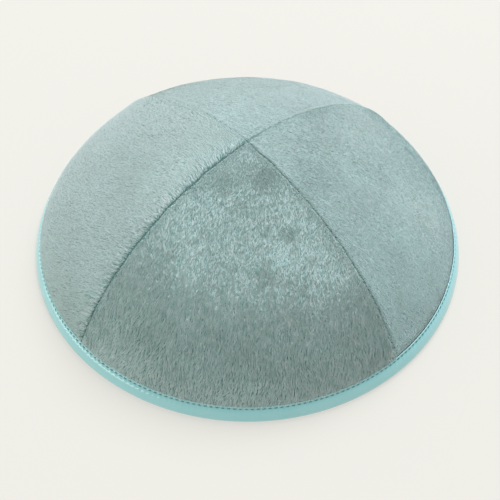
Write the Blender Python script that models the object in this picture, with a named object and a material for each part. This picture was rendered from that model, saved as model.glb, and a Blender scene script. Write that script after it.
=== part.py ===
"""A four-panel plush skullcap with a bound rim, resting on its rim.

Four equal panels of plush are sewn edge to edge into a shallow dome. Each seam rolls both
edges under, so that it shows as a groove outside and as two pressed allowances inside. A tape
of leatherette is folded round the panels' lower edges and stands on the floor.

The front panel faces -Y, the origin is the centre of the rim on the floor, and +Z is up.
Everything is measured from one dome: depth is how far a point lies inside it, and lift is how
far up the cloth it lies from the rim. All lengths are in metres.
"""

import math

import bmesh
import bpy
from mathutils import Vector

MM = 0.001

# Driving sizes of the dome
CAP_RADIUS = 90 * MM
CAP_HEIGHT = 60 * MM
FOOT_SWEEP = math.radians(73)
PANEL_FLATNESS = 0.3
ROUND_SHARE = 0.25
FLATNESS_POWER = 1.5

# Plush panels
PANEL_NAMES = ("panel_right", "panel_back", "panel_left", "panel_front")
PLUSH_THICKNESS = 2 * MM
PRESSED_THICKNESS = 1 * MM
SWELL_LENGTH = 3 * MM
SEAM_GAP = 0.3 * MM
SEAM_ROLL = 3 * MM
SEAM_DIP = 1.1 * MM
TIP_DIP = 0.45 * MM
ALLOWANCE_WIDTH = 6 * MM
ALLOWANCE_THICKNESS = 1 * MM
ALLOWANCE_STEP = 0.8 * MM

# Rim binding
BINDING_WIDTH = 8 * MM
TAPE_THICKNESS = 1 * MM
TAPE_CLEARANCE = 0.3 * MM
BINDING_SINK = 0.3 * MM
STITCH_DROP = 1.3 * MM
STITCH_SINK = 0.25 * MM
STITCH_SPREAD = 0.8 * MM
FOLD_RADIUS = 1 * MM
EDGE_ROUNDING = 0.3 * MM

# Colours, as linear red, green and blue, and roughness
PLUSH_COLOUR = (0.27, 0.42, 0.43)
PLUSH_ROUGHNESS = 0.9
TAPE_COLOUR = (0.30, 0.60, 0.62)
TAPE_ROUGHNESS = 0.4

# How finely the curved shapes are faceted
ROLL_COLUMNS = 4
FIELD_COLUMNS = 8
SWELL_ROWS = 4
DOME_ROWS = 12
BINDING_STEPS = 72
FACE_STEPS = 4
CORNER_STEPS = 2
SETTLING_STEPS = 6
SHARP_ANGLE = math.radians(40)
MERGE_DISTANCE = SEAM_GAP / 100

# Greatest shares of a panel's half width that its rolled edge and its allowance take
ROLL_SHARE = 0.4
ALLOWANCE_SHARE = 0.6

# What follows from them
PANEL_ANGLE = 2 * math.pi / len(PANEL_NAMES)
HALF_PANEL = PANEL_ANGLE / 2
DOME_REACH = CAP_RADIUS / math.sin(FOOT_SWEEP)
DOME_RISE = CAP_HEIGHT / (1 - math.cos(FOOT_SWEEP))
HALF_COLUMNS = ROLL_COLUMNS + FIELD_COLUMNS
COLUMNS = 2 * HALF_COLUMNS
ROWS = 1 + SWELL_ROWS + DOME_ROWS
TIP_SWEEP = math.asin(SEAM_GAP / math.sqrt(2) / DOME_REACH)
CHANNEL_OUTER = BINDING_SINK + TAPE_THICKNESS
PRESSED_OUTER = CHANNEL_OUTER + TAPE_CLEARANCE
PRESSED_INNER = PRESSED_OUTER + PRESSED_THICKNESS
CHANNEL_INNER = PRESSED_INNER + TAPE_CLEARANCE
BINDING_INNER = CHANNEL_INNER + TAPE_THICKNESS
PANEL_FOOT = TAPE_THICKNESS + TAPE_CLEARANCE
SWELL_START = BINDING_WIDTH + TAPE_CLEARANCE
SWELL_END = SWELL_START + SWELL_LENGTH


def clear_scene():
    for obj in list(bpy.data.objects):
        bpy.data.objects.remove(obj, do_unlink=True)


def smooth_step(low, high, value):
    """0 below low, 1 above high, and a smooth rise between them."""
    share = min(1.0, max(0.0, (value - low) / (high - low)))
    return share * share * (3 - 2 * share)


def rolled(share):
    """1 where a rolled edge turns under, falling along a quarter circle to 0."""
    share = min(1.0, max(0.0, share))
    return 1 - math.sqrt(1 - (1 - share) ** 2)


def dome_speed(sweep):
    """Length of cloth for each radian of sweep down the dome."""
    return math.hypot(DOME_REACH * math.cos(sweep), DOME_RISE * math.sin(sweep))


def sweep_at(lift):
    """The dome's sweep angle at that length of cloth up from the foot."""
    sweep = FOOT_SWEEP
    for _ in range(SETTLING_STEPS):
        sweep = FOOT_SWEEP - lift / dome_speed((FOOT_SWEEP + sweep) / 2)
    return sweep


def meridian(sweep, depth):
    """Radius and height on the dome's seam line, sunk that deep below its surface."""
    out = Vector((math.sin(sweep) / DOME_REACH, math.cos(sweep) / DOME_RISE)).normalized()
    radius = DOME_REACH * math.sin(sweep)
    height = DOME_RISE * (math.cos(sweep) - math.cos(FOOT_SWEEP))
    return radius - depth * out.x, height - depth * out.y


def sweep_at_height(height, depth):
    """The sweep angle at which the seam line, sunk that deep, lies that high."""
    sweep = FOOT_SWEEP
    for _ in range(SETTLING_STEPS):
        missing = height - meridian(sweep, depth)[1]
        sweep -= missing / (DOME_RISE * math.sin(sweep))
    return sweep


def flatness(sweep):
    """Share by which the panels' middles lie inside the circle through the seams."""
    height = meridian(sweep, 0)[1]
    share = (height / CAP_HEIGHT - ROUND_SHARE) / (1 - ROUND_SHARE)
    return PANEL_FLATNESS * max(0.0, share) ** FLATNESS_POWER


def dome_point(sweep, turn, depth):
    """A point of a panel whose middle faces +X, at turn radians from that middle."""
    radius, height = meridian(sweep, depth)
    toward_seam = (1 / math.cos(turn) - 1) / (1 / math.cos(HALF_PANEL) - 1)
    flat = flatness(sweep)
    plan = radius * (1 + flat * toward_seam) / (1 + flat)
    return Vector((plan * math.cos(turn), plan * math.sin(turn), height))


def row_sweeps():
    """Sweep of each row of a panel, from its lower edge in the binding to its tip."""
    sweeps = [FOOT_SWEEP]
    for step in range(SWELL_ROWS + 1):
        sweeps.append(sweep_at(SWELL_START + SWELL_LENGTH * (step / SWELL_ROWS) ** 2))
    top = sweeps[-1]
    for step in range(1, DOME_ROWS):
        sweeps.append(top * (1 - step / DOME_ROWS))
    return sweeps + [TIP_SWEEP]


def half_width(sweep):
    """Length of cloth from a seam to the middle of the panel."""
    return meridian(sweep, 0)[0] * HALF_PANEL


def roll_width(sweep):
    """Width of the edge that rolls into the seam, narrower towards the tip."""
    return min(SEAM_ROLL, ROLL_SHARE * half_width(sweep))


def allowance_width(sweep):
    """Width of the turned-back edge inside, narrower towards the tip."""
    return min(ALLOWANCE_WIDTH, ALLOWANCE_SHARE * half_width(sweep))


def pressed_share(sweep):
    """1 where the binding presses the cloth, 0 where the plush stands free."""
    if sweep >= sweep_at(SWELL_START):
        return 1.0
    lift = (sweep_at(SWELL_START) - sweep) * dome_speed(sweep)
    return rolled(lift / SWELL_LENGTH)


def outer_depth(sweep, from_seam):
    """Depth of the outer face: the groove at a seam, and the step down under the binding."""
    roll = roll_width(sweep)
    dip = TIP_DIP + (SEAM_DIP - TIP_DIP) * roll / SEAM_ROLL
    pressed = pressed_share(sweep)
    return pressed * PRESSED_OUTER + (1 - pressed) * dip * rolled(from_seam / roll)


def inner_depth(sweep, from_seam):
    """Depth of the inner face: the wall, thicker at an allowance and pressed in the binding."""
    width = allowance_width(sweep)
    folded = 1 - smooth_step(width - ALLOWANCE_STEP / 2, width + ALLOWANCE_STEP / 2, from_seam)
    clear = smooth_step(SWELL_START, SWELL_END, (FOOT_SWEEP - sweep) * dome_speed(FOOT_SWEEP))
    free = PLUSH_THICKNESS + folded * ALLOWANCE_THICKNESS
    return (1 - clear) * PRESSED_INNER + clear * free


def outer_column(step, sweep):
    """Distance from the seam of a column outside, crowded where the edge rolls under."""
    roll = roll_width(sweep)
    if step <= ROLL_COLUMNS:
        return roll * (step / ROLL_COLUMNS) ** 2
    return roll + (half_width(sweep) - roll) * (step - ROLL_COLUMNS) / FIELD_COLUMNS


def inner_column(step, sweep):
    """Distance from the seam of a column inside, crowded at the allowance's edge."""
    width = allowance_width(sweep)
    edge = min(ALLOWANCE_STEP, width / 2)
    places = [0, width / 2, width - edge / 2, width, width + edge / 2]
    if step < len(places):
        return places[step]
    start = places[-1]
    last = HALF_COLUMNS - len(places) + 1
    return start + (half_width(sweep) - start) * (step - len(places) + 1) / last


def panel_point(row, column, sweeps, column_place, depth_at):
    """A grid point of a panel's outer or inner face. The last row is the tip."""
    sweep = sweeps[row]
    if row == 0:
        sweep = sweep_at_height(PANEL_FOOT, depth_at(sweep, 0))
    if row == ROWS:
        return dome_point(sweep, 0, depth_at(sweep, 0))
    side = -1 if column < HALF_COLUMNS else 1
    from_seam = column_place(min(column, COLUMNS - column), sweep)
    depth = depth_at(sweep, from_seam)
    radius = meridian(sweep, depth)[0]
    reach = HALF_PANEL - math.asin(min(1.0, SEAM_GAP / 2 / radius))
    return dome_point(sweep, side * reach * (1 - from_seam / half_width(sweep)), depth)


def finished(name, mesh, finish):
    """A named mesh from a bmesh, closed and facing outwards, with its finish on it."""
    bmesh.ops.recalc_face_normals(mesh, faces=mesh.faces[:])
    data = bpy.data.meshes.new(name)
    mesh.to_mesh(data)
    mesh.free()
    data.materials.append(finish)
    data.shade_smooth()
    data.set_sharp_from_angle(angle=SHARP_ANGLE)
    return data


def panel_mesh(plush):
    """One panel: a grid for its outer face, extruded once to make its inner face."""
    sweeps = row_sweeps()
    mesh = bmesh.new()
    bmesh.ops.create_grid(mesh, x_segments=COLUMNS, y_segments=ROWS, size=1)
    outer = list(mesh.verts)
    extruded = bmesh.ops.extrude_face_region(mesh, geom=mesh.faces[:])
    inner = [item for item in extruded["geom"] if isinstance(item, bmesh.types.BMVert)]
    layers = ((outer, outer_column, outer_depth), (inner, inner_column, inner_depth))
    for verts, column_place, depth_at in layers:
        for vert in verts:
            column = round((vert.co.x + 1) / 2 * COLUMNS)
            row = round((vert.co.y + 1) / 2 * ROWS)
            vert.co = panel_point(row, column, sweeps, column_place, depth_at)
    bmesh.ops.remove_doubles(mesh, verts=mesh.verts[:], dist=MERGE_DISTANCE)
    return finished("panel", mesh, plush)


def binding_face(lift):
    """Depth of the binding's outer face, drawn in along the line of stitches."""
    away = (lift - (BINDING_WIDTH - STITCH_DROP)) / STITCH_SPREAD
    return BINDING_SINK + STITCH_SINK * math.exp(-away * away)


def on_slope(lift, depth):
    """Radius and height at that length up the cloth and that depth."""
    return meridian(sweep_at(lift), depth)


def at_height(height, depth):
    """Radius and height on the slope of that depth, at that height over the floor."""
    return meridian(sweep_at_height(height, depth), depth)


def floor_corner(side_radius, toward):
    """Rounded corner of the fold, from its upright side down to the floor."""
    points = []
    for step in range(CORNER_STEPS + 1):
        angle = math.pi / 2 * step / CORNER_STEPS
        points.append((
            side_radius + toward * FOLD_RADIUS * (1 - math.cos(angle)),
            FOLD_RADIUS * (1 - math.sin(angle)),
        ))
    return points


def outer_leg():
    """The tape's outer face from the fold to its top edge."""
    low = FOLD_RADIUS / math.sin(FOOT_SWEEP)
    stitch_line = BINDING_WIDTH - STITCH_DROP
    top_face = binding_face(BINDING_WIDTH)
    points = []
    for step in range(1, FACE_STEPS + 1):
        lift = low + (stitch_line - low) * step / FACE_STEPS
        points.append(on_slope(lift, binding_face(lift)))
    points.append(on_slope(BINDING_WIDTH - EDGE_ROUNDING, top_face))
    points.append(on_slope(BINDING_WIDTH, top_face + EDGE_ROUNDING))
    return points


def channel():
    """The slot between the tape's two legs, which holds the panels' lower edges."""
    return [
        on_slope(BINDING_WIDTH, CHANNEL_OUTER),
        at_height(TAPE_THICKNESS, CHANNEL_OUTER),
        at_height(TAPE_THICKNESS, CHANNEL_INNER),
        on_slope(BINDING_WIDTH, CHANNEL_INNER),
    ]


def inner_leg():
    """The tape's inner face from its top edge down to the fold."""
    return [
        on_slope(BINDING_WIDTH, BINDING_INNER - EDGE_ROUNDING),
        on_slope(BINDING_WIDTH - EDGE_ROUNDING, BINDING_INNER),
    ]


def binding_section():
    """Radius and height round the folded tape: up its outer face, through it and back."""
    outer_corner = floor_corner(at_height(FOLD_RADIUS, BINDING_SINK)[0], -1)
    inner_corner = floor_corner(at_height(FOLD_RADIUS, BINDING_INNER)[0], 1)
    return outer_corner[::-1] + outer_leg() + channel() + inner_leg() + inner_corner


def binding_mesh(leatherette):
    """The tape's section spun once round the cap's axis."""
    mesh = bmesh.new()
    verts = [mesh.verts.new((radius, 0, height)) for radius, height in binding_section()]
    for first, second in zip(verts, verts[1:] + verts[:1]):
        mesh.edges.new((first, second))
    bmesh.ops.spin(
        mesh,
        geom=mesh.verts[:] + mesh.edges[:],
        axis=(0, 0, 1),
        cent=(0, 0, 0),
        steps=BINDING_STEPS,
        angle=2 * math.pi,
        use_merge=True,
    )
    return finished("rim_binding", mesh, leatherette)


def finish_of(name, colour, roughness):
    made = bpy.data.materials.new(name)
    made.use_nodes = True
    shader = made.node_tree.nodes["Principled BSDF"]
    shader.inputs["Base Color"].default_value = (*colour, 1)
    shader.inputs["Roughness"].default_value = roughness
    shader.inputs["Metallic"].default_value = 0
    return made


def place(name, data, turn, cap):
    """Puts a piece on the cap, turned about the cap's axis."""
    obj = bpy.data.objects.new(name, data)
    bpy.context.scene.collection.objects.link(obj)
    obj.parent = cap
    obj.rotation_euler = (0, 0, turn)


def build_cap():
    clear_scene()
    cap = bpy.data.objects.new("cap", None)
    bpy.context.scene.collection.objects.link(cap)
    panel = panel_mesh(finish_of("plush", PLUSH_COLOUR, PLUSH_ROUGHNESS))
    binding = binding_mesh(finish_of("leatherette", TAPE_COLOUR, TAPE_ROUGHNESS))
    for index, name in enumerate(PANEL_NAMES):
        place(name, panel, index * PANEL_ANGLE, cap)
    place("rim_binding", binding, 0, cap)


build_cap()
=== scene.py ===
"""Looks of a four-panel plush skullcap with a bound, topstitched rim.

The solids give the dome and the folded rim. Here each panel is a sheet of plush: a knitted
ground with seam allowances, and a pile of small locks that all lie one way. The rim is a
leatherette tape, puffed between its fold and its stitches, with a pucker at each stitch.

The front panel faces -Y and +Z is up. Depth is how far a point lies inside the dome that the
seams follow, lift is how far up the cloth it lies from the rim, and all lengths are in metres.
"""

import math

import bmesh
import bpy
from mathutils import Matrix, Vector, noise


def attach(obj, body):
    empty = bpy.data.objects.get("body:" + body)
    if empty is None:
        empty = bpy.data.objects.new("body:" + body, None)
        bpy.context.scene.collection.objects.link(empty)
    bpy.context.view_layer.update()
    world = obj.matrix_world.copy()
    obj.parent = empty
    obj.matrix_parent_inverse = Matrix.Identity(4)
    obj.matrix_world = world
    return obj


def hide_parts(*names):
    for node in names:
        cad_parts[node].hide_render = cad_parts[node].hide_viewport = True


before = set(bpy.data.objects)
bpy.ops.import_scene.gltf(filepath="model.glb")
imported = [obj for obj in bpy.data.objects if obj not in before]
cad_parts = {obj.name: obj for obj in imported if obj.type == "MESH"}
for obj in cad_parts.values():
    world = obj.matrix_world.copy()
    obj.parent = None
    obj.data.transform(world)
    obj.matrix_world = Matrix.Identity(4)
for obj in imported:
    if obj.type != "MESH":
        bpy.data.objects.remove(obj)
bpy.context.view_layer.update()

MM = 0.001

# The dome, as in the solids
CAP_RADIUS = 90 * MM
CAP_HEIGHT = 60 * MM
FOOT_SWEEP = math.radians(73)
PANEL_FLATNESS = 0.3
ROUND_SHARE = 0.25
FLATNESS_POWER = 1.5

# The panels: name, the way that its middle faces and the way that its nap lies, both seen from
# above in degrees from +X
PANELS = (
    ("right", 0, 186),
    ("back", 90, 150),
    ("left", 180, 143),
    ("front", -90, -94),
)
HALF_PANEL = math.pi / 4
PLUSH_THICKNESS = 2 * MM
PRESSED_OUTER = 1.6 * MM
PRESSED_INNER = 2.6 * MM
PANEL_FOOT = 1.3 * MM
SWELL_START = 7.85 * MM
SWELL_LENGTH = 1.4 * MM
ALLOWANCE_WIDTH = 6 * MM
ALLOWANCE_SHARE = 0.6
ALLOWANCE_THICKNESS = 1 * MM
ALLOWANCE_STEP = 0.8 * MM

# The seams. Each sinks into the pile by a share of its own, given with the heading, in degrees
# from +X, that it runs down.
SEAM_SHARES = {45: 0.1, 135: 0.25, 225: 0.5, 315: 0.6}
SEAM_GAP = 0.3 * MM
SEAM_ROLL = 3 * MM
ROLL_SHARE = 0.4
SEAM_DIP = 1.1 * MM
TIP_DIP = 0.8 * MM
RIM_DIP_SHARE = 0.15

# The cloth is a little uneven, and the seams wander
UNEVEN_SIZE = 24 * MM
UNEVEN_DEPTH = 0.35 * MM
WANDER_SIZE = 7 * MM
WANDER_REACH = 0.45 * MM
WANDER_FADE = 5 * MM
WANDER_APART = 15

# How finely a panel is gridded, closer together by its seams and where it swells
GROUND_COLUMNS = 72
GROUND_ROWS = 64
SWELL_ROWS = 10
SEAM_CROWDING = 1.6

# The pile: sparse at the crown's very tip and in the seams, and short by a seam and the rim
PILE_DEPTH = 0.6 * MM
SEAM_PILE_SHARE = 0.45
LOCK_LENGTH = 2.1 * MM
LOCK_WIDTH = 0.56 * MM
LOCK_THICKNESS = 0.24 * MM
LOCK_SPACING = 0.28 * MM
LOCK_DENSITY = 17 / MM / MM
LOCK_GROWTH = (0.75, 1.25)
CROWN_BARE = 0.4 * MM
SEAM_BARE = 0.1 * MM
SEAM_BARE_LIFT = (10 * MM, 18 * MM)
SHORT_BY_RIM = 0.65
SHORT_BY_SEAM = 0.45
SEAM_FADE = 2 * MM

# How far the pile rises from the cloth, in degrees, and further by a seam. It fans out over the
# panel, and where the nap is rough it turns and lifts in slow waves.
NAP_RISE = 13
SEAM_RISE = 7
NAP_FAN = 1.4
NAP_TURN = 14
NAP_TURN_SIZES = (16 * MM, 6 * MM)
NAP_LIFT = 2.5
NAP_LIFT_SIZE = 11 * MM

# How rough each panel's nap is, which also sets how far its painted sheen swings: low on the panel,
# halfway up and at the crown
ROUGH = {
    "right": (0.2, 0.3, 0.2),
    "back": (0.2, 0.25, 0.2),
    "left": (0.25, 0.3, 0.2),
    "front": (1.1, 0.78, 0.42),
}
# How many degrees flatter than NAP_RISE the pile is worn, at the same three heights
WORN = {
    "right": (4, 8.5, 13.5),
    "back": (9, 10, 13),
    "left": (-2, 1.2, -1.5),
    "front": (-10.5, 11.5, 8),
}
# The lifts between which low turns into halfway up, and halfway up into the crown
HALFWAY_LIFT = (22 * MM, 60 * MM)
CROWN_LIFT = (78 * MM, 100 * MM)

# Where hands have rubbed the nap askew: panel, lift, place to the left or right of its
# middle, and radius in millimetres, the turn of the pile there in degrees, and how much
# further it stands up
RUBBED = (
    ("front", 95, 9, 7, 30, 8),
    ("front", 92, -7, 6, -20, 6),
    ("front", 81, -1, 4, -25, 6),
    ("front", 69, 20, 2.2, 60, 18),
    ("front", 54, 10, 4, 30, 7),
    ("front", 42, 38, 14, 0, -4),
    ("front", 42, -38, 14, 0, 4),
    ("left", 60, 10, 14, 15, 0),
    ("right", 55, -12, 13, -15, 0),
    ("right", 26, -2, 20, 0, -8),
    ("right", 72, 15, 18, 4, -4),
    ("right", 48, 42, 22, -12, -6),
)

# One panel's pile is combed over its seam with the front: rougher, twisted and standing up
COMBED_PANEL = "left"
COMBED_ROUGH = 2.6
COMBED_ROUGH_FADE = 3.4 * MM
COMBED_TWIST = -43
COMBED_TWIST_FADE = 5 * MM
COMBED_TWIST_REACH = (12 * MM, 60 * MM)
COMBED_RISE = 17

# Fibres cling together in tufts that rise and turn alike, and each is a little astray. The
# angles are in radians: roll, rise and turn.
TUFT_LENGTH = 3 * MM
TUFT_WIDTH = 0.9 * MM
TUFT_RISE = 0.15
TUFT_TURN = 0.3
LOCK_ASTRAY = (0.3, 0.07, 0.16)

# A lock's paleness, which is random tone and painted sheen, swings with its tuft, and by this share as
# much by chance
SHADE_CHANCE = 0.6

# Each lock gets a square of its own on the map that keeps its colours: so many squares a side
MAP_SQUARES = 224
MAP_FILL = 0.9

# The rim's tape, folded round the panels' lower edges
TAPE_WIDTH = 8 * MM
TAPE_THICKNESS = 1 * MM
TAPE_SINK = 0.3 * MM
FOLD_RADIUS = 1 * MM
LIP_ROUNDING = 0.35 * MM
EDGE_STRAY = 0.12 * MM
EDGE_WAVES = 6
CHANNEL_OUTER = TAPE_SINK + TAPE_THICKNESS
CHANNEL_INNER = 2.9 * MM
TAPE_INNER = CHANNEL_INNER + TAPE_THICKNESS

# The tape's face: puffed out, sunk at the stitches, creased below each needle hole, and wavy
PUFF_DEPTH = 0.5 * MM
PUFF_FULL = 0.4
PUFF_LOSS = 0.25
PUFF_END_BELOW = 0.2 * MM
PUFF_END_ABOVE = 0.4 * MM
LIP_DEPTH = 0.1 * MM
LIP_RISE = 0.5 * MM
SUNK_DEPTH = 0.48 * MM
PINCH_DEPTH = 0.16 * MM
SUNK_BELOW = 2.2 * MM
SUNK_ABOVE = 0.5 * MM
CREASE_DEPTH = 0.09 * MM
CREASE_LENGTH = 1.1 * MM
CREASE_FADE = 1.4
FACE_WAVES = ((13 * MM, 0.10 * MM), (4 * MM, 0.05 * MM))

# The stitches: half their thickness, length and width, how they stray, and their tilt in radians
STITCH_DROP = 1.3 * MM
STITCH_COUNT = 246
STITCH_RADII = (0.20 * MM, 0.66 * MM, 0.27 * MM)
STITCH_SIDES = 6
STITCH_PROUD = 0.02 * MM
STITCH_STRAY = 0.05 * MM
STITCH_TILT = 0.12
STITCH_TILT_STRAY = 0.08
STITCH_PULL_STRAY = 0.5

# How finely the tape is gridded, round the rim and round its section
STEPS_PER_STITCH = 6
TAPE_STEPS = STITCH_COUNT * STEPS_PER_STITCH
LEG_STEPS = 18
LEG_CROWDING = 0.8
LIP_STEPS = 3
TURN_STEPS = 5

# What follows from them
DOME_REACH = CAP_RADIUS / math.sin(FOOT_SWEEP)
DOME_RISE = CAP_HEIGHT / (1 - math.cos(FOOT_SWEEP))
TIP_SWEEP = math.asin(SEAM_GAP / math.sqrt(2) / DOME_REACH)
STITCH_LINE = TAPE_WIDTH - STITCH_DROP
FULL_DIP_LIFT = 2.2 * TAPE_WIDTH
FULL_WANDER_LIFT = 2 * TAPE_WIDTH
LOOSE_LIFT = 3 * SWELL_START

# The camera, which looks at a point on the floor near the middle of the rim
CAMERA_TURN = math.radians(2.9)
CAMERA_TILT = math.radians(51.6)
CAMERA_ROLL = math.radians(-0.3)
CAMERA_TARGET = Vector((1.4, -6.0, 0)) * MM
CAMERA_DISTANCE = 477 * MM
CAMERA_LENS = 81.1

# The middle of the cap, which the lights look at, and half the floor's width
LIGHT_TARGET = Vector((0, 0, 0.03))
FLOOR_REACH = 8


def smooth_step(low, high, value):
    """0 below low, 1 above high, and a smooth rise between them."""
    share = min(1.0, max(0.0, (value - low) / (high - low)))
    return share * share * (3 - 2 * share)


def rolled(share):
    """1 where a rolled edge turns under, falling along a quarter circle to 0."""
    share = min(1.0, max(0.0, share))
    return 1 - math.sqrt(1 - (1 - share) ** 2)


def dome_speed(sweep):
    """Length of cloth for each radian of sweep down the dome."""
    return math.hypot(DOME_REACH * math.cos(sweep), DOME_RISE * math.sin(sweep))


def sweep_at(lift):
    """The dome's sweep angle at that length of cloth up from the foot."""
    sweep = FOOT_SWEEP
    for _ in range(6):
        sweep = FOOT_SWEEP - lift / dome_speed((FOOT_SWEEP + sweep) / 2)
    return sweep


def lift_at(sweep):
    """The length of cloth up from the foot to that sweep angle."""
    return (FOOT_SWEEP - sweep) * dome_speed((FOOT_SWEEP + sweep) / 2)


def meridian(sweep, depth):
    """Radius and height on the dome's seam line, sunk that deep below its surface."""
    out = Vector((math.sin(sweep) / DOME_REACH, math.cos(sweep) / DOME_RISE)).normalized()
    radius = DOME_REACH * math.sin(sweep)
    height = DOME_RISE * (math.cos(sweep) - math.cos(FOOT_SWEEP))
    return radius - depth * out.x, height - depth * out.y


def sweep_at_height(height, depth):
    """The sweep angle at which the seam line, sunk that deep, lies that high."""
    sweep = FOOT_SWEEP
    for _ in range(6):
        missing = height - meridian(sweep, depth)[1]
        sweep -= missing / (DOME_RISE * math.sin(sweep))
    return sweep


def flatness(sweep):
    """Share by which the panels' middles lie inside the circle through the seams."""
    height = meridian(sweep, 0)[1]
    share = (height / CAP_HEIGHT - ROUND_SHARE) / (1 - ROUND_SHARE)
    return PANEL_FLATNESS * max(0.0, share) ** FLATNESS_POWER


def dome_point(sweep, turn, depth):
    """A point of a panel whose middle faces +X, at turn radians from that middle."""
    radius, height = meridian(sweep, depth)
    toward_seam = (1 / math.cos(turn) - 1) / (1 / math.cos(HALF_PANEL) - 1)
    flat = flatness(sweep)
    plan = radius * (1 + flat * toward_seam) / (1 + flat)
    return Vector((plan * math.cos(turn), plan * math.sin(turn), height))


def half_width(sweep):
    """Length of cloth from a seam to the middle of the panel."""
    return meridian(sweep, 0)[0] * HALF_PANEL


def pressed_share(lift):
    """1 where the binding presses the cloth, 0 where the plush stands free."""
    return rolled((lift - SWELL_START) / SWELL_LENGTH)


def pile_share(lift, from_seam):
    """How deep the pile stands, as a share: shallow at a seam, none under the binding."""
    free = smooth_step(SWELL_START, SWELL_START + SWELL_LENGTH / 2, lift)
    seam = smooth_step(0, SEAM_ROLL, from_seam)
    return free * (SEAM_PILE_SHARE + (1 - SEAM_PILE_SHARE) * seam)


def unevenness(point):
    """How far the cloth stands out at that place, in gentle swells that pass over seams."""
    return UNEVEN_DEPTH * noise.noise(point / UNEVEN_SIZE)


def ground_depth(sweep, from_seam, seam_share):
    """Depth of the knitted ground under the pile."""
    lift = lift_at(sweep)
    roll = min(SEAM_ROLL, ROLL_SHARE * half_width(sweep))
    dip = TIP_DIP + (seam_share * SEAM_DIP - TIP_DIP) * roll / SEAM_ROLL
    dip *= RIM_DIP_SHARE + (1 - RIM_DIP_SHARE) * smooth_step(TAPE_WIDTH, FULL_DIP_LIFT, lift)
    pressed = pressed_share(lift)
    free = dip * rolled(from_seam / roll) + PILE_DEPTH * pile_share(lift, from_seam)
    return pressed * PRESSED_OUTER + (1 - pressed) * free


def backing_depth(sweep, from_seam, _):
    """Depth of the panel's inside: the wall, thicker over a turned-back seam allowance."""
    width = min(ALLOWANCE_WIDTH, ALLOWANCE_SHARE * half_width(sweep))
    folded = 1 - smooth_step(width - ALLOWANCE_STEP / 2, width + ALLOWANCE_STEP / 2, from_seam)
    clear = smooth_step(SWELL_START, SWELL_START + SWELL_LENGTH, lift_at(sweep))
    free = PLUSH_THICKNESS + folded * ALLOWANCE_THICKNESS
    return (1 - clear) * PRESSED_INNER + clear * free


def seam_heading(facing, across):
    """Heading of the seam on that side of a panel's middle, in whole degrees from +X."""
    side = -1 if across < 0 else 1
    return round(math.degrees(facing + side * HALF_PANEL)) % 360


def seam_wander(lift, heading):
    """How far a seam strays sideways there. Both panels that meet at it stray alike."""
    strayed = noise.noise(Vector((lift / WANDER_SIZE, heading / WANDER_APART, 0)))
    settled = smooth_step(TAPE_WIDTH, FULL_WANDER_LIFT, lift)
    return WANDER_REACH * settled * strayed


def panel_place(sweep, across, depth_at, facing):
    """A point of the panel that faces that way. Across runs from -1 to 1 between its seams."""
    side = -1 if across < 0 else 1
    from_seam = (1 - abs(across)) * half_width(sweep)
    heading = seam_heading(facing, across)
    depth = depth_at(sweep, from_seam, SEAM_SHARES[heading])
    radius = max(meridian(sweep, depth)[0], SEAM_GAP)
    reach = HALF_PANEL - math.asin(min(1.0, SEAM_GAP / 2 / radius))
    crown = min(1.0, radius / WANDER_FADE)
    stray = crown * seam_wander(lift_at(sweep), heading) * math.exp(-from_seam / WANDER_FADE)
    turn = side * reach * abs(across) + stray / radius
    point = dome_point(sweep, turn, depth)
    point.rotate(Matrix.Rotation(facing, 3, "Z"))
    out = Vector((point.x, point.y, point.z + CAP_RADIUS / 3)).normalized()
    loose = smooth_step(SWELL_START, LOOSE_LIFT, lift_at(sweep))
    return point + out * unevenness(point) * loose


def ground_rows(with_foot):
    """Sweep of each row of a panel up to its tip, with or without the foot in the binding."""
    sweeps = [FOOT_SWEEP] if with_foot else []
    for step in range(SWELL_ROWS + 1):
        sweeps.append(sweep_at(SWELL_START + SWELL_LENGTH * (step / SWELL_ROWS) ** 2))
    swelled = sweeps[-1]
    for step in range(1, GROUND_ROWS + 1):
        sweeps.append(swelled + (TIP_SWEEP - swelled) * step / GROUND_ROWS)
    return sweeps


def across_at(column):
    """Place between the two seams of a column, from -1 to 1, closer together by the seams."""
    half = GROUND_COLUMNS / 2
    inward = (min(column, GROUND_COLUMNS - column) / half) ** SEAM_CROWDING
    return (inward - 1) * (1 if column < half else -1)


def lay_grid(verts, sweeps, depth_at, facing, spots):
    """Lays a grid's points on a panel, row by row from the rim, and notes where each is."""
    rows = len(sweeps) - 1
    for vert in verts:
        column = round((vert.co.x + 1) / 2 * GROUND_COLUMNS)
        row = round((vert.co.y + 1) / 2 * rows)
        sweep = sweeps[row]
        across = 0.0 if row == rows else across_at(column)
        if row == 0 and sweep == FOOT_SWEEP:
            sweep = sweep_at_height(PANEL_FOOT, depth_at(FOOT_SWEEP, 0, 1))
        vert.co = panel_place(sweep, across, depth_at, facing)
        half = half_width(sweep)
        spots[vert] = (lift_at(sweep), across * half, (1 - abs(across)) * half)


def linear(colour):
    """A hex colour as the eye sees it, turned to linear light."""
    channels = [int(colour[place:place + 2], 16) / 255 for place in (1, 3, 5)]
    lit = [c / 12.92 if c <= 0.04045 else ((c + 0.055) / 1.055) ** 2.4 for c in channels]
    return (*lit, 1.0)


def wire(tree, node, inputs):
    """Links each input that is given a socket, and sets each that is given a value."""
    for place, value in inputs.items():
        if isinstance(value, bpy.types.NodeSocket):
            tree.links.new(value, node.inputs[place])
        else:
            node.inputs[place].default_value = value


def add(tree, kind, inputs=None, **settings):
    """A new node with its settings, and its inputs linked or set."""
    node = tree.nodes.new(kind)
    for name, value in settings.items():
        setattr(node, name, value)
    wire(tree, node, inputs or {})
    return node


def finish_named(name):
    """A new material with its tree and its surface shader."""
    made = bpy.data.materials.new(name)
    made.use_nodes = True
    return made, made.node_tree, made.node_tree.nodes["Principled BSDF"]


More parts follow.
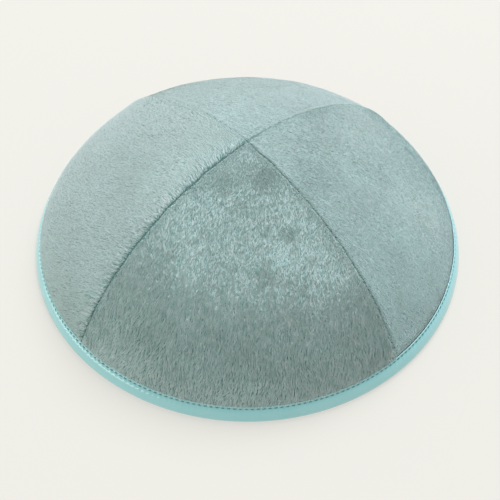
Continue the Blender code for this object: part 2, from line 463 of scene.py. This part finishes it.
def mottled(tree, size, detail, dark, pale):
    """A colour that drifts between two shades, in soft blotches of that size."""
    place = add(tree, "ShaderNodeTexCoord")
    drift = add(tree, "ShaderNodeTexNoise", {
        "Vector": place.outputs["Object"], "Scale": 1 / size, "Detail": detail})
    colour = add(tree, "ShaderNodeMix", {
        0: drift.outputs["Fac"], 6: linear(dark), 7: linear(pale)}, data_type="RGBA")
    return colour.outputs[2]


def polyester_pile():
    """Brushed polyester plush: matt with a soft sheen, painted darker towards each lock's root as
    painted shade, and paler or darker by lock as random tone and painted sheen.
    """
    made, tree, shader = finish_named("polyester_plush_pile")
    tip = add(tree, "ShaderNodeAttribute", attribute_name="tip")
    shade = add(tree, "ShaderNodeAttribute", attribute_name="shade")
    place = add(tree, "ShaderNodeTexCoord")
    mottle = add(tree, "ShaderNodeTexNoise", {
        "Vector": place.outputs["Object"], "Scale": 1 / (18 * MM), "Detail": 3.0})
    # Painted sheen: pale locks stand in for fibres catching the light, deep ones for pile in shade,
    # along with random tone
    lock = add(tree, "ShaderNodeMix", {
        0: shade.outputs["Fac"], 6: linear("#8dc2c0"), 7: linear("#e2f2f3")}, data_type="RGBA")
    # Painted shade: each lock darker towards its root, deep in the pile
    length = add(tree, "ShaderNodeMapRange", {
        "Value": tip.outputs["Fac"], "To Min": 0.62, "To Max": 1.04})
    patch = add(tree, "ShaderNodeMapRange", {
        "Value": mottle.outputs["Fac"], "From Min": 0.3, "From Max": 0.7,
        "To Min": 0.92, "To Max": 1.08})
    both = add(tree, "ShaderNodeMath", {
        0: length.outputs[0], 1: patch.outputs[0]}, operation="MULTIPLY")
    lit = add(tree, "ShaderNodeVectorMath", {
        0: lock.outputs[2], 3: both.outputs[0]}, operation="SCALE")
    wire(tree, shader, {
        "Base Color": lit.outputs[0], "Roughness": 0.7, "IOR": 1.54,
        "Sheen Weight": 0.65, "Sheen Roughness": 0.45, "Sheen Tint": linear("#e5eced")})
    return made


def knitted_ground():
    """The knit that the pile stands in: coloured dark as painted shade, as it lies under the pile."""
    made, tree, shader = finish_named("knitted_ground")
    # Painted shade: darker than the pile, for the shadow under it
    colour = mottled(tree, 1.5 * MM, 2.0, "#557f7c", "#709a97")
    wire(tree, shader, {"Base Color": colour, "Roughness": 0.9})
    return made


def knitted_backing():
    """Inside of the plush: a smooth warp knit with fine upright ribs and flat cross courses."""
    made, tree, shader = finish_named("knitted_backing")
    cloth = add(tree, "ShaderNodeUVMap", uv_map="cloth")
    parts = add(tree, "ShaderNodeSeparateXYZ", {0: cloth.outputs[0]})
    # Ribs of a real plush ground are 0.5 mm apart, and its courses closer. They are drawn 0.9 mm
    # and 0.7 mm apart so that they show.
    ribs = add(tree, "ShaderNodeMath", {
        0: parts.outputs[0], 1: 2 * math.pi / (0.9 * MM)}, operation="MULTIPLY")
    courses = add(tree, "ShaderNodeMath", {
        0: parts.outputs[1], 1: 2 * math.pi / (0.7 * MM)}, operation="MULTIPLY")
    rib = add(tree, "ShaderNodeMath", {0: ribs.outputs[0]}, operation="SINE")
    course = add(tree, "ShaderNodeMath", {0: courses.outputs[0]}, operation="SINE")
    loops = add(tree, "ShaderNodeMath", {
        0: course.outputs[0], 1: 0.5, 2: rib.outputs[0]}, operation="MULTIPLY_ADD")
    bump = add(tree, "ShaderNodeBump", {
        "Height": loops.outputs[0], "Distance": 0.08 * MM, "Strength": 0.6})
    colour = mottled(tree, 9 * MM, 4.0, "#6f9a9d", "#8fb4b6")
    wire(tree, shader, {
        "Base Color": colour, "Normal": bump.outputs[0], "Roughness": 0.82, "Sheen Weight": 0.1})
    return made


def pressed_leatherette():
    """Polyurethane leatherette: a satin gloss over a fine pressed grain and an uneven tint."""
    made, tree, shader = finish_named("pressed_leatherette")
    colour = mottled(tree, 14 * MM, 4.0, "#85c3c9", "#9aced3")
    place = add(tree, "ShaderNodeTexCoord")
    # The real grain is 0.3 mm. It is drawn at 0.6 mm so that it shows.
    grain = add(tree, "ShaderNodeTexVoronoi", {
        "Vector": place.outputs["Object"], "Scale": 1 / (0.6 * MM)}, feature="F1")
    bump = add(tree, "ShaderNodeBump", {
        "Height": grain.outputs["Distance"], "Distance": 0.05 * MM, "Strength": 0.25})
    wire(tree, shader, {
        "Base Color": colour, "Normal": bump.outputs[0], "Roughness": 0.22, "IOR": 1.5,
        "Coat Weight": 1.0, "Coat Roughness": 0.12})
    return made


def spun_thread():
    """Twisted polyester thread, hardly glossy, coloured a little darker than the tape as painted shade
    of its sunk stitch holes.
    """
    made, tree, shader = finish_named("spun_polyester_thread")
    # Painted shade: darker than the tape, for the shadow in the stitch holes
    colour = mottled(tree, 0.3 * MM, 1.0, "#3f7f84", "#5f9ba0")
    wire(tree, shader, {"Base Color": colour, "Roughness": 0.6})
    return made


def object_of(name, data):
    """An object at the origin that shows the mesh."""
    obj = bpy.data.objects.new(name, data)
    bpy.context.scene.collection.objects.link(obj)
    return obj


def mesh_of(name, shape, *finishes):
    """A smooth mesh from a bmesh, with its finishes on it."""
    data = bpy.data.meshes.new(name)
    shape.to_mesh(data)
    shape.free()
    for finish in finishes:
        data.materials.append(finish)
    data.shade_smooth()
    return data


def panel_grid(sweeps):
    """A flat grid with a row for each sweep, to be laid on a panel."""
    shape = bmesh.new()
    bmesh.ops.create_grid(shape, x_segments=GROUND_COLUMNS, y_segments=len(sweeps) - 1, size=1)
    return shape


def panel_ground(name, facing, ground, backing):
    """One panel's cloth without its pile: a grid outside, extruded once for the inside."""
    sweeps = ground_rows(with_foot=True)
    shape = panel_grid(sweeps)
    outer = list(shape.verts)
    outer_faces = set(shape.faces)
    extruded = bmesh.ops.extrude_face_region(shape, geom=shape.faces[:])
    inner = [item for item in extruded["geom"] if isinstance(item, bmesh.types.BMVert)]
    spots = {}
    lay_grid(outer, sweeps, ground_depth, facing, spots)
    lay_grid(inner, sweeps, backing_depth, facing, spots)
    cloth = shape.loops.layers.uv.new("cloth")
    for face in shape.faces:
        face.material_index = 0 if face in outer_faces else 1
        for loop in face.loops:
            lift, across, _ = spots[loop.vert]
            loop[cloth].uv = (across, lift)
    bmesh.ops.remove_doubles(shape, verts=shape.verts[:], dist=SEAM_GAP / 100)
    bmesh.ops.recalc_face_normals(shape, faces=shape.faces[:])
    return object_of("plush_" + name, mesh_of("plush_" + name, shape, ground, backing))


def by_height(values, lift):
    """A value given low on a panel, halfway up and at the crown, read at that lift."""
    low, halfway, crown = values
    risen = smooth_step(*HALFWAY_LIFT, lift)
    crowned = smooth_step(*CROWN_LIFT, lift)
    return low + (halfway - low) * risen + (crown - halfway) * crowned


def nap_astray(name, rough, lift, across, point):
    """How far the pile lies turned from its panel's nap, and how much it stands up, in degrees."""
    wide, narrow = NAP_TURN_SIZES
    fan = math.degrees(across / (CAP_RADIUS * math.sin(sweep_at(lift))))
    turned = NAP_FAN * fan * (1 - math.cos(sweep_at(lift)))
    turned += NAP_TURN * rough * noise.noise(point / wide)
    turned += NAP_TURN * rough * noise.noise(point / narrow + Vector((7, 0, 0)))
    raised = NAP_LIFT * rough * noise.noise(point / NAP_LIFT_SIZE + Vector((0, 5, 0)))
    for panel, high, aside, radius, turn_there, rise_there in RUBBED:
        if panel == name:
            away = math.hypot(lift - high * MM, across - aside * MM) / (radius * MM)
            turned += turn_there * math.exp(-away * away)
            raised += rise_there * math.exp(-away * away)
    return turned, raised


def lock_density(heading, lift, from_seam, from_crown):
    """Share of the full pile that grows there, next to the seam with that heading."""
    clear = smooth_step(CROWN_BARE, 2.5 * CROWN_BARE, from_crown)
    bare = SEAM_SHARES[heading] * (1 - smooth_step(SEAM_BARE, 3 * SEAM_BARE, from_seam))
    return clear * (1 - bare * smooth_step(*SEAM_BARE_LIFT, lift))


def pile_stance(name, facing, nap_heading, spot, point):
    """The heading that a lock lies along there, in radians, and what else its bed says of it."""
    lift, across, from_seam = spot
    from_crown = math.hypot(point.x, point.y)
    by_seam = math.exp(-from_seam / SEAM_FADE)
    by_rim = smooth_step(SWELL_START - 1 * MM, SWELL_START + 2 * MM, lift)
    rough = by_height(ROUGH[name], lift)
    turned, raised = nap_astray(name, rough, lift, across, point)
    heading = nap_heading + turned
    seam_rise = SEAM_RISE
    twist = 0.0
    if name == COMBED_PANEL and across > 0:
        seam_rise = COMBED_RISE
        twist = COMBED_TWIST * (1 - smooth_step(*COMBED_TWIST_REACH, from_crown))
        heading += twist * math.exp(-from_seam / COMBED_TWIST_FADE)
        rough += COMBED_ROUGH * math.exp(-from_seam / COMBED_ROUGH_FADE)
    rise = NAP_RISE - by_height(WORN[name], lift) + raised + seam_rise * by_seam
    return math.radians(heading), {
        "rise": math.radians(rise),
        "reach": (1 - SHORT_BY_RIM + SHORT_BY_RIM * by_rim) * (1 - SHORT_BY_SEAM * by_seam),
        "density": lock_density(seam_heading(facing, across), lift, from_seam, from_crown),
        "rough": rough,
        "twist": math.radians(twist),
    }


def pile_bed(name, facing, nap_heading):
    """The face that a panel's locks grow from, with the way they lie on each of its points."""
    sweeps = ground_rows(with_foot=False)
    shape = panel_grid(sweeps)
    spots = {}
    lay_grid(shape.verts[:], sweeps, ground_depth, facing, spots)
    places = [spots[vert] for vert in shape.verts]
    data = mesh_of("pile_bed", shape)
    # Locks grow on the side that the faces point to, which has to be the outside.
    middle = data.vertices[len(data.vertices) // 2]
    if middle.normal.z < 0:
        data.flip_normals()
    data.attributes.new("nap", "FLOAT_VECTOR", "POINT")
    for kept in ("rise", "reach", "density", "rough", "twist"):
        data.attributes.new(kept, "FLOAT", "POINT")
    for vert, spot in zip(data.vertices, places):
        heading, stance = pile_stance(name, facing, nap_heading, spot, Vector(vert.co))
        lying = Vector((math.cos(heading), math.sin(heading), 0))
        along = (lying - vert.normal * lying.dot(vert.normal)).normalized()
        data.attributes["nap"].data[vert.index].vector = along
        for kept, value in stance.items():
            data.attributes[kept].data[vert.index].value = value
    return object_of("pile_bed", data)


def pile_lock():
    """One lock of pile: a slim three-sided cone along +X with its ridge up, and its own map."""
    shape = bmesh.new()
    along_x = Matrix.Rotation(math.pi / 2, 3, "Y")
    bmesh.ops.create_cone(shape, cap_ends=True, segments=3, radius1=0.5, radius2=0, depth=1)
    bmesh.ops.translate(shape, verts=shape.verts[:], vec=(0, 0, 0.5))
    bmesh.ops.rotate(shape, verts=shape.verts[:], cent=(0, 0, 0), matrix=along_x)
    data = mesh_of("pile_lock", shape)
    lowest = min(vert.co.z for vert in data.vertices)
    # The share from root to tip, by which the pile's finish paints shade darker towards the root
    tip = data.attributes.new("tip", "FLOAT", "POINT")
    spread = data.uv_layers.new(name="lock_map")
    for vert in data.vertices:
        tip.data[vert.index].value = vert.co.x
    for loop in data.loops:
        vert = data.vertices[loop.vertex_index].co
        spread.data[loop.index].uv = (0.8 * vert.x + 0.2 * (vert.z - lowest), vert.y + 0.5)
    return object_of("pile_lock", data)


def tuft_leaning(tree, nap_heading, twist):
    """Three soft values that the locks of one tuft share. Tufts are drawn out along the nap."""
    place = add(tree, "GeometryNodeInputPosition")
    unturned = add(tree, "ShaderNodeMath", {
        0: -math.radians(nap_heading), 1: twist}, operation="SUBTRACT")
    turned = add(tree, "ShaderNodeVectorRotate", {
        "Vector": place.outputs[0], "Angle": unturned.outputs[0]}, rotation_type="Z_AXIS")
    drawn_out = add(tree, "ShaderNodeVectorMath", {
        0: turned.outputs[0], 1: (1 / TUFT_LENGTH, 1 / TUFT_WIDTH, 1 / TUFT_LENGTH)},
        operation="MULTIPLY")
    tufts = add(tree, "ShaderNodeTexNoise", {
        "Vector": drawn_out.outputs[0], "Scale": 1.0, "Detail": 1.0})
    return add(tree, "ShaderNodeSeparateXYZ", {0: tufts.outputs["Color"]}).outputs


def lock_turning(tree, leaning, stance, normal, nap, seed):
    """The turn of each lock: with the nap, then with its tuft where the nap is rough, then astray."""
    astray = add(tree, "FunctionNodeRandomValue", {
        0: tuple(-angle for angle in LOCK_ASTRAY), 1: LOCK_ASTRAY, "Seed": seed},
        data_type="FLOAT_VECTOR")
    roll, strayed_rise, strayed_turn = add(
        tree, "ShaderNodeSeparateXYZ", {0: astray.outputs[0]}).outputs
    tuft_rise, tuft_turn = (
        add(tree, "ShaderNodeMapRange", {
            "Value": value, "From Min": 0.25, "From Max": 0.75, "To Min": -most, "To Max": most})
        for value, most in ((leaning[0], TUFT_RISE), (leaning[1], TUFT_TURN))
    )
    tuft_lift = add(tree, "ShaderNodeMath", {
        0: tuft_rise.outputs[0], 1: stance["rough"], 2: stance["rise"]}, operation="MULTIPLY_ADD")
    pitch = add(tree, "ShaderNodeMath", {
        0: strayed_rise, 1: tuft_lift.outputs[0]}, operation="SUBTRACT")
    turn = add(tree, "ShaderNodeMath", {
        0: tuft_turn.outputs[0], 1: stance["rough"], 2: strayed_turn}, operation="MULTIPLY_ADD")
    angles = add(tree, "ShaderNodeCombineXYZ", {0: roll, 1: pitch.outputs[0], 2: turn.outputs[0]})
    lying = add(tree, "FunctionNodeAxesToRotation", {
        "Primary Axis": normal, "Secondary Axis": nap}, primary_axis="Z", secondary_axis="X")
    turned = add(tree, "FunctionNodeEulerToRotation", {0: angles.outputs[0]})
    return add(tree, "FunctionNodeRotateRotation", {
        0: lying.outputs[0], 1: turned.outputs[0]}, rotation_space="LOCAL").outputs[0]


def lock_size(tree, reach, seed):
    """Length, width and thickness of each lock. No two are quite as long."""
    shortest, longest = LOCK_GROWTH
    grown = add(tree, "FunctionNodeRandomValue", {
        2: shortest, 3: longest, "Seed": seed}, data_type="FLOAT")
    share = add(tree, "ShaderNodeMath", {0: grown.outputs[1], 1: reach}, operation="MULTIPLY")
    length = add(tree, "ShaderNodeMath", {
        0: share.outputs[0], 1: LOCK_LENGTH}, operation="MULTIPLY")
    return add(tree, "ShaderNodeCombineXYZ", {
        0: length.outputs[0], 1: LOCK_WIDTH, 2: LOCK_THICKNESS}).outputs[0]


def lock_shade(tree, leaning, rough, seed):
    """How pale each lock is, as random tone and painted sheen: half way, and a rougher nap swings it
    more, by tuft and by chance.
    """
    chance = add(tree, "FunctionNodeRandomValue", {2: 0.0, 3: 1.0, "Seed": seed}, data_type="FLOAT")
    swing = add(tree, "ShaderNodeMath", {
        0: chance.outputs[1], 1: SHADE_CHANCE, 2: leaning[2]}, operation="MULTIPLY_ADD")
    centred = add(tree, "ShaderNodeMath", {
        0: swing.outputs[0], 1: (1 + SHADE_CHANCE) / 2}, operation="SUBTRACT")
    return add(tree, "ShaderNodeMath", {
        0: centred.outputs[0], 1: rough, 2: 0.5}, operation="MULTIPLY_ADD").outputs[0]


def map_square(tree):
    """The corner of each lock's own square, counted in squares along and up the map."""
    index = add(tree, "GeometryNodeInputIndex")
    along = add(tree, "ShaderNodeMath", {
        0: index.outputs[0], 1: MAP_SQUARES}, operation="MODULO")
    up = add(tree, "ShaderNodeMath", {0: index.outputs[0], 1: MAP_SQUARES}, operation="DIVIDE")
    row = add(tree, "ShaderNodeMath", {0: up.outputs[0]}, operation="FLOOR")
    return add(tree, "ShaderNodeCombineXYZ", {0: along.outputs[0], 1: row.outputs[0]}).outputs[0]


def map_place(tree):
    """Where each corner of each lock lies on the map."""
    spread, square = (
        add(tree, "GeometryNodeInputNamedAttribute", {"Name": name}, data_type="FLOAT_VECTOR")
        for name in ("lock_map", "square")
    )
    inset = add(tree, "ShaderNodeVectorMath", {
        0: spread.outputs[0], 3: MAP_FILL}, operation="SCALE")
    moved = add(tree, "ShaderNodeVectorMath", {
        0: inset.outputs[0], 1: square.outputs[0]}, operation="ADD")
    return add(tree, "ShaderNodeVectorMath", {
        0: moved.outputs[0], 3: 1 / MAP_SQUARES}, operation="SCALE").outputs[0]


def pile_growth(lock, nap_heading, seed, finish):
    """Geometry nodes that set a lock at each root, lying with the nap and a little astray."""
    tree = bpy.data.node_groups.new("pile_growth", "GeometryNodeTree")
    tree.interface.new_socket("Bed", in_out="INPUT", socket_type="NodeSocketGeometry")
    tree.interface.new_socket("Pile", in_out="OUTPUT", socket_type="NodeSocketGeometry")
    bed = add(tree, "NodeGroupInput")
    nap = add(tree, "GeometryNodeInputNamedAttribute", {"Name": "nap"}, data_type="FLOAT_VECTOR")
    stance = {
        name: add(tree, "GeometryNodeInputNamedAttribute", {"Name": name}, data_type="FLOAT").outputs[0]
        for name in ("rise", "reach", "density", "rough", "twist")
    }
    roots = add(tree, "GeometryNodeDistributePointsOnFaces", {
        "Mesh": bed.outputs[0], "Distance Min": LOCK_SPACING, "Density Max": LOCK_DENSITY,
        "Density Factor": stance["density"], "Seed": seed}, distribute_method="POISSON")
    leaning = tuft_leaning(tree, nap_heading, stance["twist"])
    shape = add(tree, "GeometryNodeObjectInfo", {"Object": lock})
    locks = add(tree, "GeometryNodeInstanceOnPoints", {
        "Points": roots.outputs["Points"], "Instance": shape.outputs["Geometry"],
        "Rotation": lock_turning(
            tree, leaning, stance, roots.outputs["Normal"], nap.outputs[0], seed + 1),
        "Scale": lock_size(tree, stance["reach"], seed + 2)})
    # Each lock's shade: random tone and painted sheen
    shaded = add(tree, "GeometryNodeStoreNamedAttribute", {
        "Geometry": locks.outputs[0], "Name": "shade",
        "Value": lock_shade(tree, leaning, stance["rough"], seed + 3)},
        data_type="FLOAT", domain="INSTANCE")
    squared = add(tree, "GeometryNodeStoreNamedAttribute", {
        "Geometry": shaded.outputs[0], "Name": "square", "Value": map_square(tree)},
        data_type="FLOAT_VECTOR", domain="INSTANCE")
    real = add(tree, "GeometryNodeRealizeInstances", {0: squared.outputs[0]})
    mapped = add(tree, "GeometryNodeStoreNamedAttribute", {
        "Geometry": real.outputs[0], "Name": "OFBake", "Value": map_place(tree)},
        data_type="FLOAT2", domain="CORNER")
    dressed = add(tree, "GeometryNodeSetMaterial", {
        "Geometry": mapped.outputs[0], "Material": finish})
    add(tree, "NodeGroupOutput", {0: dressed.outputs[0]})
    return tree


def grow_pile(name, facing, nap_heading, lock, finish, seed):
    """A panel's pile as one mesh of real locks."""
    bed = pile_bed(name, facing, nap_heading)
    growth = bed.modifiers.new("growth", "NODES")
    growth.node_group = pile_growth(lock, nap_heading, seed, finish)
    bpy.context.view_layer.update()
    grown = bed.evaluated_get(bpy.context.evaluated_depsgraph_get())
    data = bpy.data.meshes.new_from_object(grown)
    data.name = "pile_" + name
    for unused in ("square", "lock_map"):
        if unused in data.attributes:
            data.attributes.remove(data.attributes[unused])
    data.shade_smooth()
    bpy.data.objects.remove(bed)
    return object_of("pile_" + name, data)


def stitch_pinch(turn):
    """1 at a needle hole between two stitches, 0 at the middle of a stitch."""
    return 0.5 + 0.5 * math.cos(turn * STITCH_COUNT)


def stitch_strength(turn):
    """How hard the stitch at that turn pulls: each pulls a little differently."""
    number = math.floor(turn * STITCH_COUNT / (2 * math.pi) + 0.5) % STITCH_COUNT
    return 1 + STITCH_PULL_STRAY * noise.noise(Vector((number * 0.73, 4.1, 0)))


def tape_relief(lift, turn, inside):
    """How far the tape's face stands out: puffed over the fold, drawn in at the stitches."""
    pinch = stitch_pinch(turn)
    strength = stitch_strength(turn)
    share = min(1.0, max(0.0, lift / STITCH_LINE))
    puff = PUFF_DEPTH * smooth_step(0, PUFF_FULL, share) * (1 - PUFF_LOSS * share ** 3)
    puff *= 1 - smooth_step(STITCH_LINE - PUFF_END_BELOW, STITCH_LINE + PUFF_END_ABOVE, lift)
    lip = LIP_DEPTH * smooth_step(STITCH_LINE, STITCH_LINE + LIP_RISE, lift)
    below = STITCH_LINE - lift
    crease = 0.0
    if below > 0:
        drawn_in = max(0.0, 1 - below / SUNK_BELOW) ** 2
        down = below / CREASE_LENGTH
        crease = CREASE_DEPTH * pinch * strength * down * math.exp(1 - down * CREASE_FADE)
    else:
        drawn_in = math.exp(-(below / SUNK_ABOVE) ** 2)
    sunk = (SUNK_DEPTH + PINCH_DEPTH * pinch * strength) * drawn_in
    place = Vector((math.cos(turn), math.sin(turn), inside)) * CAP_RADIUS
    wave = sum(depth * noise.noise(place / size) for size, depth in FACE_WAVES)
    return puff + lip - sunk - crease + wave


def tape_section():
    """The points round the folded tape: the stretch it is on, the share of it, and 1 if inside."""
    quarter = [step / TURN_STEPS * 0.5 for step in range(TURN_STEPS + 1)]
    points = [("fold", share, 0) for share in quarter]
    points += [("leg", (step / LEG_STEPS) ** LEG_CROWDING, 0) for step in range(1, LEG_STEPS + 1)]
    points += [("lip", step / LIP_STEPS, 0) for step in range(1, LIP_STEPS + 1)]
    points += [("slot", 0, 0), ("slot", 1, 0)]
    points += [("lip", 1 - step / LIP_STEPS, 1) for step in range(LIP_STEPS)]
    points += [("leg", (step / LEG_STEPS) ** LEG_CROWDING, 1) for step in range(LEG_STEPS, 0, -2)]
    points += [("fold", 0.5 - share, 1) for share in quarter]
    return points


def tape_place(stretch, share, inside, turn):
    """Radius and height of a point of the folded tape at that turn round the cap."""
    side = TAPE_INNER if inside else TAPE_SINK
    inward = -1 if inside else 1
    round_rim = Vector((math.cos(turn), math.sin(turn), inside))
    top = TAPE_WIDTH + EDGE_STRAY * noise.noise(round_rim * EDGE_WAVES)
    if stretch == "fold":
        angle = share * math.pi
        edge, _ = meridian(sweep_at_height(FOLD_RADIUS, side), side)
        radius = edge - inward * FOLD_RADIUS * (1 - math.sin(angle))
        return radius, FOLD_RADIUS * (1 - math.cos(angle))
    if stretch == "leg":
        low = FOLD_RADIUS / math.sin(FOOT_SWEEP)
        lift = low + (top - LIP_ROUNDING - low) * share
        proud = tape_relief(lift, turn, inside)
        return meridian(sweep_at(lift), side - inward * proud)
    if stretch == "lip":
        angle = share * math.pi / 2
        proud = tape_relief(top - LIP_ROUNDING, turn, inside)
        lift = top - LIP_ROUNDING * (1 - math.sin(angle))
        depth = side - inward * proud + inward * LIP_ROUNDING * (1 - math.cos(angle))
        return meridian(sweep_at(lift), depth)
    channel = CHANNEL_INNER if share else CHANNEL_OUTER
    return meridian(sweep_at_height(TAPE_THICKNESS, channel), channel)


def binding_tape(finish):
    """The folded tape: a grid bent round its section and round the rim, and closed both ways."""
    section = tape_section()
    shape = bmesh.new()
    bmesh.ops.create_grid(shape, x_segments=TAPE_STEPS, y_segments=len(section), size=1)
    for vert in shape.verts:
        step = round((vert.co.x + 1) / 2 * TAPE_STEPS)
        row = round((vert.co.y + 1) / 2 * len(section)) % len(section)
        turn = 2 * math.pi * (step % TAPE_STEPS) / TAPE_STEPS
        radius, height = tape_place(*section[row], turn)
        vert.co = (radius * math.cos(turn), radius * math.sin(turn), height)
    bmesh.ops.remove_doubles(shape, verts=shape.verts[:], dist=0.002 * MM)
    bmesh.ops.recalc_face_normals(shape, faces=shape.faces[:])
    return object_of("binding_tape", mesh_of("binding_tape", shape, finish))


def topstitch(name, inside, finish):
    """The row of stitches that holds the tape, each lying in its pucker."""
    shape = bmesh.new()
    side = TAPE_INNER if inside else TAPE_SINK
    inward = -1 if inside else 1
    lean = math.pi / 2 - sweep_at(STITCH_LINE)
    for number in range(STITCH_COUNT):
        turn = 2 * math.pi * (number + 0.5) / STITCH_COUNT
        proud = tape_relief(STITCH_LINE, turn, inside) + STITCH_PROUD
        strayed = STITCH_STRAY * noise.noise(Vector((number * 1.7, inside, 3)))
        tilt = STITCH_TILT + STITCH_TILT_STRAY * noise.noise(Vector((number * 0.9, inside, 8)))
        radius, height = meridian(sweep_at(STITCH_LINE + strayed), side - inward * proud)
        place = (
            Matrix.Rotation(turn, 4, "Z")
            @ Matrix.Translation((radius, 0, height))
            @ Matrix.Rotation(-lean, 4, "Y")
            @ Matrix.Rotation(tilt, 4, "X")
            @ Matrix.Diagonal((*STITCH_RADII, 1))
        )
        bmesh.ops.create_uvsphere(
            shape, u_segments=STITCH_SIDES, v_segments=STITCH_SIDES, radius=1, matrix=place)
    return object_of(name, mesh_of(name, shape, finish))


def build_floor():
    """A plain pale cream sheet that fills the view, lit softly from below so that shadows stay thin."""
    made, tree, shader = finish_named("lit_opal_sheet")
    wire(tree, shader, {
        "Base Color": linear("#878580"), "Roughness": 0.9,
        "Emission Color": linear("#f4f2ec"), "Emission Strength": 0.59})
    shape = bmesh.new()
    bmesh.ops.create_grid(shape, x_segments=1, y_segments=1, size=FLOOR_REACH)
    floor = object_of("floor", mesh_of("floor", shape, made))


def build_camera():
    """The camera above the front, turned and rolled as the photograph was taken."""
    flat = math.cos(CAMERA_TILT)
    back = Vector((math.sin(CAMERA_TURN) * flat, -math.cos(CAMERA_TURN) * flat, math.sin(CAMERA_TILT)))
    right = Vector((math.cos(CAMERA_TURN), math.sin(CAMERA_TURN), 0))
    up = back.cross(right)
    turned = Matrix((right, up, back)).transposed() @ Matrix.Rotation(-CAMERA_ROLL, 3, "Z")
    data = bpy.data.cameras.new("camera")
    data.lens = CAMERA_LENS
    data.sensor_width = 36
    data.clip_start = 10 * MM
    camera = object_of("camera", data)
    camera.matrix_world = Matrix.Translation(CAMERA_TARGET + back * CAMERA_DISTANCE) @ turned.to_4x4()
    bpy.context.scene.camera = camera


def soft_light(name, place, width, height, power, colour):
    """A soft light that looks at the cap."""
    data = bpy.data.lights.new(name, "AREA")
    data.shape = "RECTANGLE"
    data.size = width
    data.size_y = height
    data.energy = power
    data.color = linear(colour)[:3]
    light = object_of(name, data)
    aim = LIGHT_TARGET - Vector(place)
    light.matrix_world = Matrix.Translation(place) @ aim.to_track_quat("-Z", "Y").to_matrix().to_4x4()


def build_lights():
    """Even daylight from all round, more from above and behind, and a low window on the left."""
    world = bpy.data.worlds.new("daylight")
    bpy.context.scene.world = world
    world.use_nodes = True
    sky = world.node_tree.nodes["Background"]
    wire(world.node_tree, sky, {"Color": linear("#f5faf3"), "Strength": 0.76})
    soft_light(
        "overhead", place=(0.55, 1.35, 2.0), width=1.6, height=1.6, power=57.5, colour="#f6f6ff")
    soft_light(
        "window", place=(-1.5, -0.2, 0.28), width=2.6, height=0.28, power=8.5, colour="#fdfff6")


def main():
    """Makes the panels with their pile, the tape with its stitches, and the setting."""
    pile = polyester_pile()
    ground = knitted_ground()
    backing = knitted_backing()
    leatherette = pressed_leatherette()
    thread = spun_thread()
    lock = pile_lock()
    for seed, (name, degrees, nap_heading) in enumerate(PANELS):
        facing = math.radians(degrees)
        panel = panel_ground(name, facing, ground, backing)
        locks = grow_pile(name, facing, nap_heading, lock, pile, 10 * seed)
        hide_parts("panel_" + name)
        for piece in (panel, locks):
            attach(piece, "root")
    bpy.data.objects.remove(lock)
    tape = binding_tape(leatherette)
    outer_row = topstitch("topstitch_outer", 0, thread)
    inner_row = topstitch("topstitch_inner", 1, thread)
    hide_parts("rim_binding")
    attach(tape, "root")
    for row in (outer_row, inner_row):
        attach(row, "root")
    build_floor()
    build_camera()
    build_lights()
    bpy.context.scene.view_settings.view_transform = "Standard"


main()
